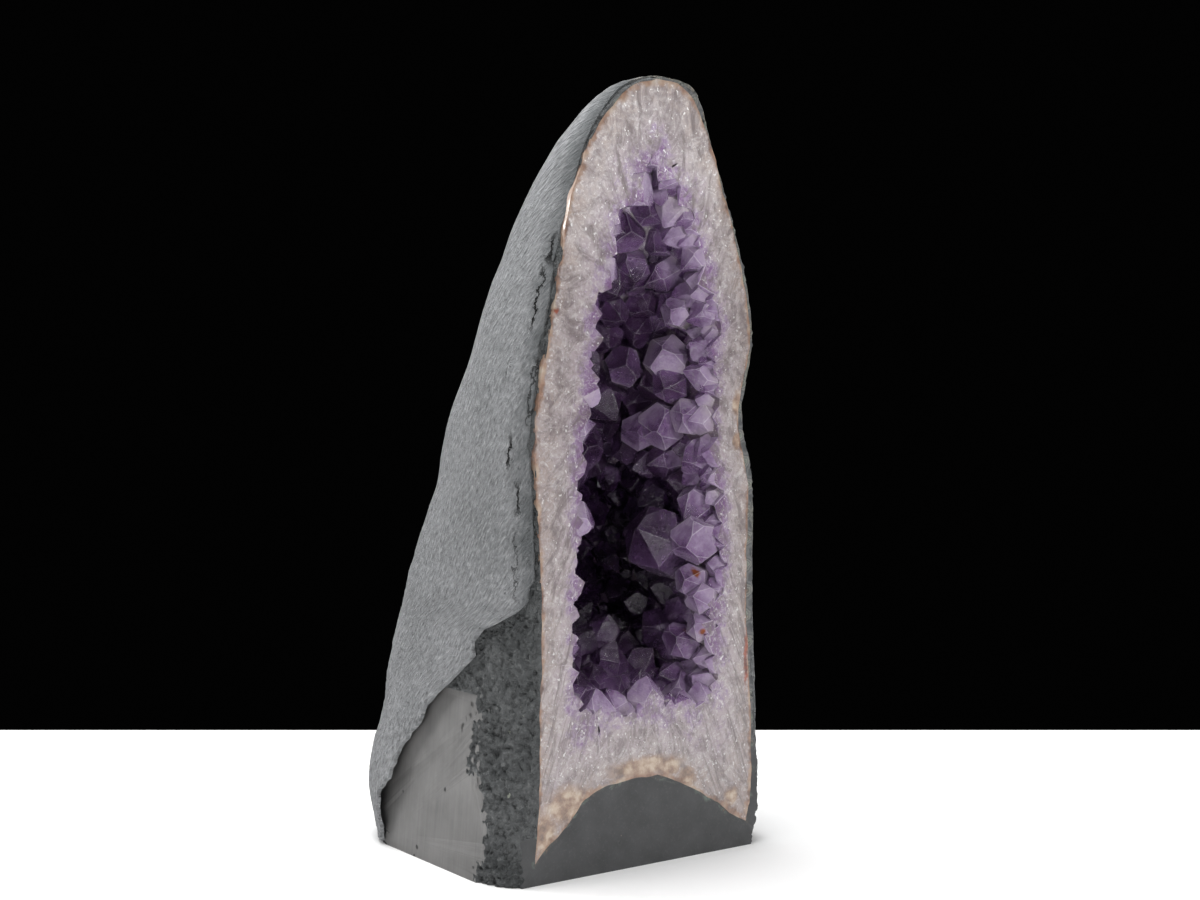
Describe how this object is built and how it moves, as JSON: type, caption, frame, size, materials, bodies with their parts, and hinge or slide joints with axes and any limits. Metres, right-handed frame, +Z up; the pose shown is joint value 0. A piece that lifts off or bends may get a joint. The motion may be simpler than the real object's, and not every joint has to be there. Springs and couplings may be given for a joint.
{
  "type": "amethyst geode",
  "caption": "Tall standing amethyst geode, sawn flat in front and underneath, with a purple crystal hollow in a white quartz rim.",
  "frame": {"origin": "on the base, under the middle of the bounding box", "axes": "+Z up, -Y out of the sawn front, +X to the right as seen from the front"},
  "size_m": [0.1804, 0.1634, 0.4005],
  "materials": {
    "basalt": "dark grey basalt, rough where broken and honed where sawn",
    "cement": "matt grey cement, brushed on in fine upright ridges",
    "amethyst": "polished milky quartz with glassy, see-through purple points"
  },
  "bodies": {
    "root": {"basalt_matrix": "basalt", "cement_coat": "cement", "amethyst_druse": "amethyst"}
  },
  "joints": []
}
